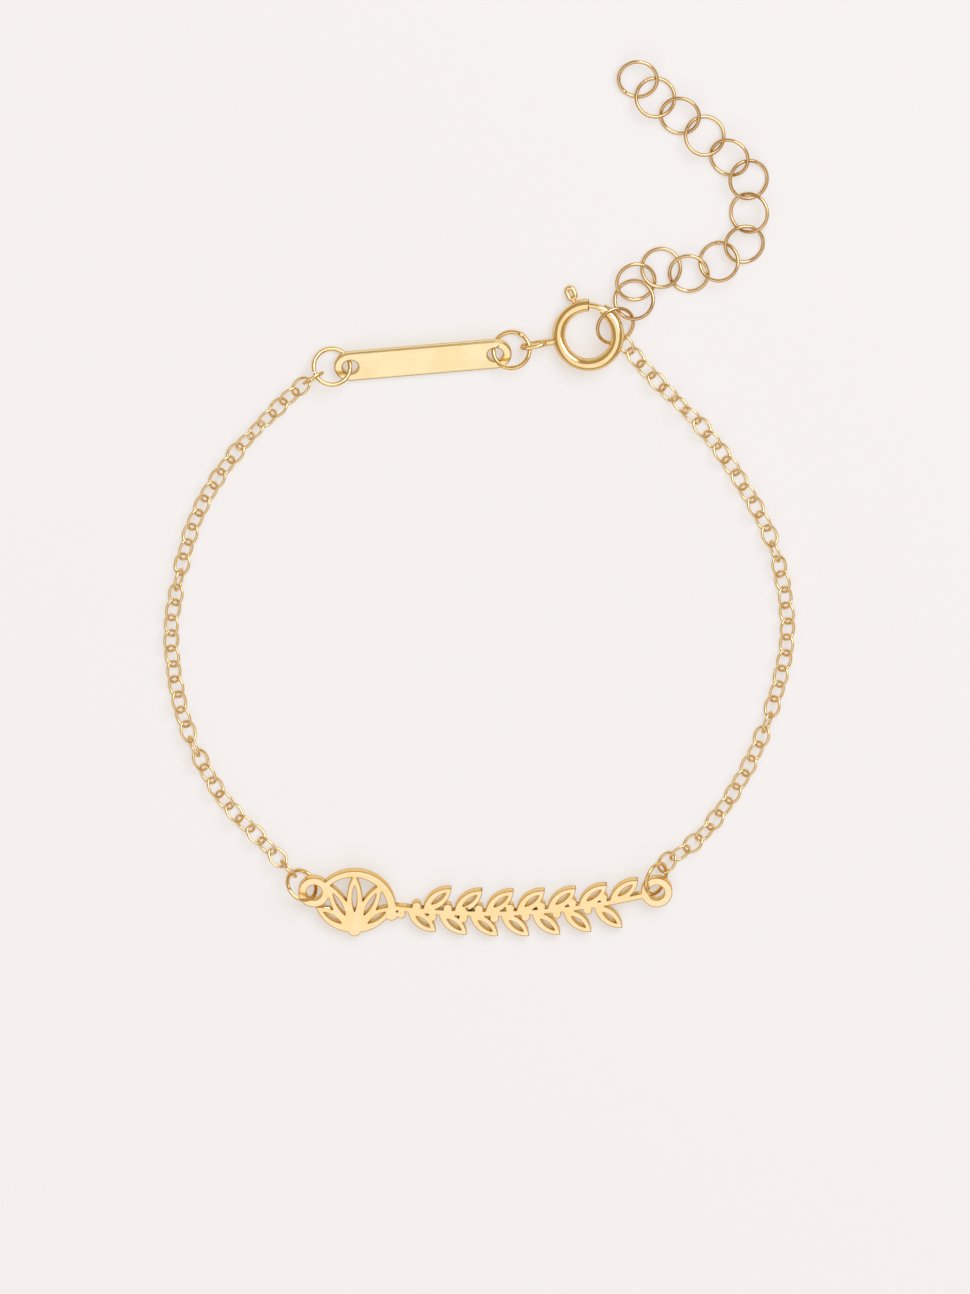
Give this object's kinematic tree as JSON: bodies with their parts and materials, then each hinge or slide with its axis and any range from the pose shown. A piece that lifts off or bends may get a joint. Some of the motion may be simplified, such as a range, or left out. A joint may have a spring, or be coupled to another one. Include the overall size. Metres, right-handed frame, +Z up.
{
  "type": "nameplate bracelet",
  "caption": "Fine cable chain bracelet with a pierced plate of laurel leaves, a bare tag, a spring ring clasp and an extender chain of round rings, laid out flat.",
  "frame": {"origin": "on the surface it lies on, under the middle of its outline", "axes": "+Z up from the surface, +Y from the plate towards the free end of the extender, +X to the right along the plate"},
  "size_m": [0.0526, 0.0748, 0.0024],
  "materials": {
    "plate_gold": "polished warm gold",
    "wire_gold": "polished warm gold wire",
    "clasp_gold": "polished warm gold"
  },
  "bodies": {
    "bracelet": {"nameplate": "plate_gold", "plate_ring_left": "wire_gold", "plate_ring_right": "wire_gold", "chain_left": "wire_gold", "chain_right": "wire_gold", "tag": "plate_gold", "tag_ring": "wire_gold", "clasp_link_ring": "wire_gold", "clasp_body": "clasp_gold", "extender_ring_1": "wire_gold", "extender_ring_2": "wire_gold", "extender_ring_3": "wire_gold", "extender_ring_4": "wire_gold", "extender_ring_5": "wire_gold", "extender_ring_6": "wire_gold", "extender_ring_7": "wire_gold", "extender_ring_8": "wire_gold", "extender_ring_9": "wire_gold", "extender_ring_10": "wire_gold", "extender_ring_11": "wire_gold", "extender_ring_12": "wire_gold", "extender_ring_13": "wire_gold", "extender_ring_14": "wire_gold"},
    "clasp_bolt": {"clasp_bolt": "clasp_gold"}
  },
  "joints": [
    {"name": "clasp_bolt", "type": "hinge", "parent": "bracelet", "child": "clasp_bolt", "pos_m": [0.00907, 0.01409, 0.00106], "axis": [-0.1469, 0.1323, 0.9803], "range_deg": [0, 36], "stiffness_Nm_per_rad": 0.0002}
  ]
}
